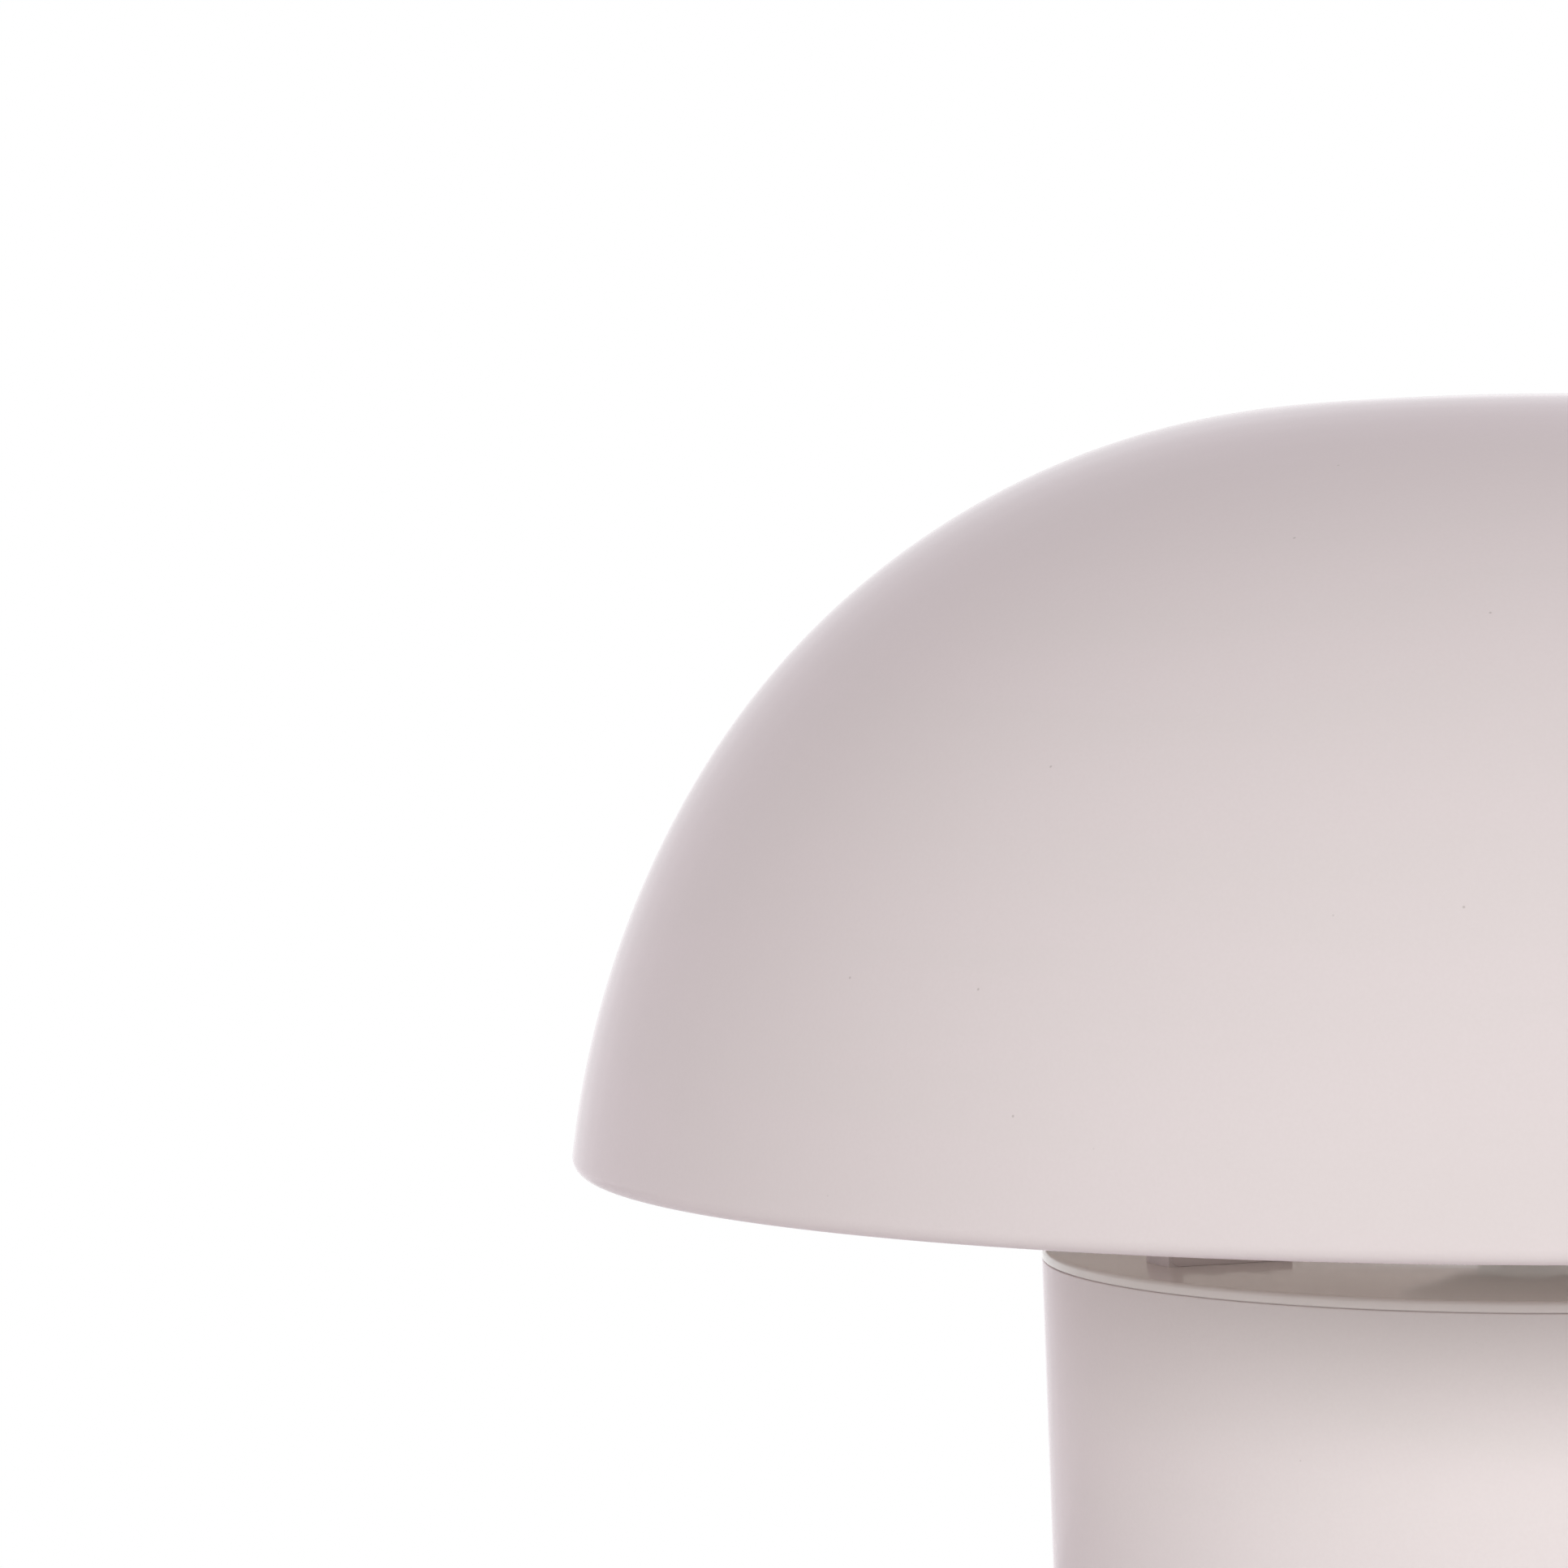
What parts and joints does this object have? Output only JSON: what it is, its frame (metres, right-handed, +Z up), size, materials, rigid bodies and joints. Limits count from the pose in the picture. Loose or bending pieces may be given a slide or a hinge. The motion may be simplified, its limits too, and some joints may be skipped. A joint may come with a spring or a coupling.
{
  "type": "mushroom table lamp",
  "caption": "Table lamp with a spun dome shade resting on a three-legged carrier above a wide, slightly tapered tubular stem; the shade lifts off to change the bulb.",
  "frame": {"origin": "centre of the foot, on the surface the lamp stands on", "axes": "+Z up along the stem and through the top of the shade, -Y to the front, +Y to the rear where the cord enters"},
  "size_m": [0.3, 0.3, 0.35],
  "materials": {
    "shade_enamel": "gloss enamel outside, the same colour in satin inside (the inside is guessed)",
    "stem_enamel": "gloss enamel",
    "lid_enamel": "gloss enamel",
    "carrier_enamel": "gloss enamel on bent strap steel",
    "zinc_steel": "bright zinc plated",
    "black_steel": "black powder coat",
    "cast_iron": "rough cast, dull",
    "rubber": "matte moulded rubber",
    "clear_rubber": "soft translucent silicone",
    "white_plastic": "moulded thermoplastic",
    "ceramic": "glazed ceramic",
    "brass": "plain turned brass",
    "nickel": "nickel plated",
    "opal_glass": "satin opal glass",
    "black_glass": "vitrite insulator",
    "lead_brown": "brown lead insulation",
    "lead_blue": "blue lead insulation",
    "lead_earth": "green and yellow lead insulation"
  },
  "bodies": {
    "lamp": {"stem_tube": "stem_enamel", "stem_lid": "lid_enamel", "carrier_leg_left": "carrier_enamel", "carrier_leg_right": "carrier_enamel", "carrier_leg_rear": "carrier_enamel", "carrier_ring": "carrier_enamel", "leg_rivets": "zinc_steel", "ring_rivets": "zinc_steel", "rest_pads": "clear_rubber", "tie_rod": "zinc_steel", "lid_washer": "zinc_steel", "lid_nut": "zinc_steel", "base_washer": "zinc_steel", "base_nut": "zinc_steel", "base_plate": "black_steel", "ballast": "cast_iron", "ballast_screws": "zinc_steel", "foot_ring": "rubber", "cord_bush": "rubber", "terminal_block": "white_plastic", "terminal_clamps": "brass", "terminal_screws": "zinc_steel", "block_screw": "zinc_steel", "lead_live": "lead_brown", "lead_neutral": "lead_blue", "lead_earth": "lead_earth", "earth_tag": "brass", "earth_screw": "brass", "holder_cap": "white_plastic", "holder_body": "white_plastic", "holder_insulator": "ceramic", "holder_screw_shell": "brass", "holder_contact": "brass", "holder_terminals": "brass", "holder_terminal_screws": "zinc_steel"},
    "shade": {"shade_dome": "shade_enamel"},
    "bulb": {"bulb_contact": "nickel", "bulb_insulator": "black_glass", "bulb_cap": "nickel", "bulb_collar": "white_plastic", "bulb_globe": "opal_glass"}
  },
  "joints": [
    {"name": "shade_lift", "type": "slide", "parent": "lamp", "child": "shade", "axis": [0, 0, 1], "range_m": [0, 0.2]},
    {"name": "bulb_turn", "type": "hinge", "parent": "lamp", "child": "bulb", "pos_m": [0, 0, 0.28], "axis": [0, 0, 1], "continuous": true}
  ]
}
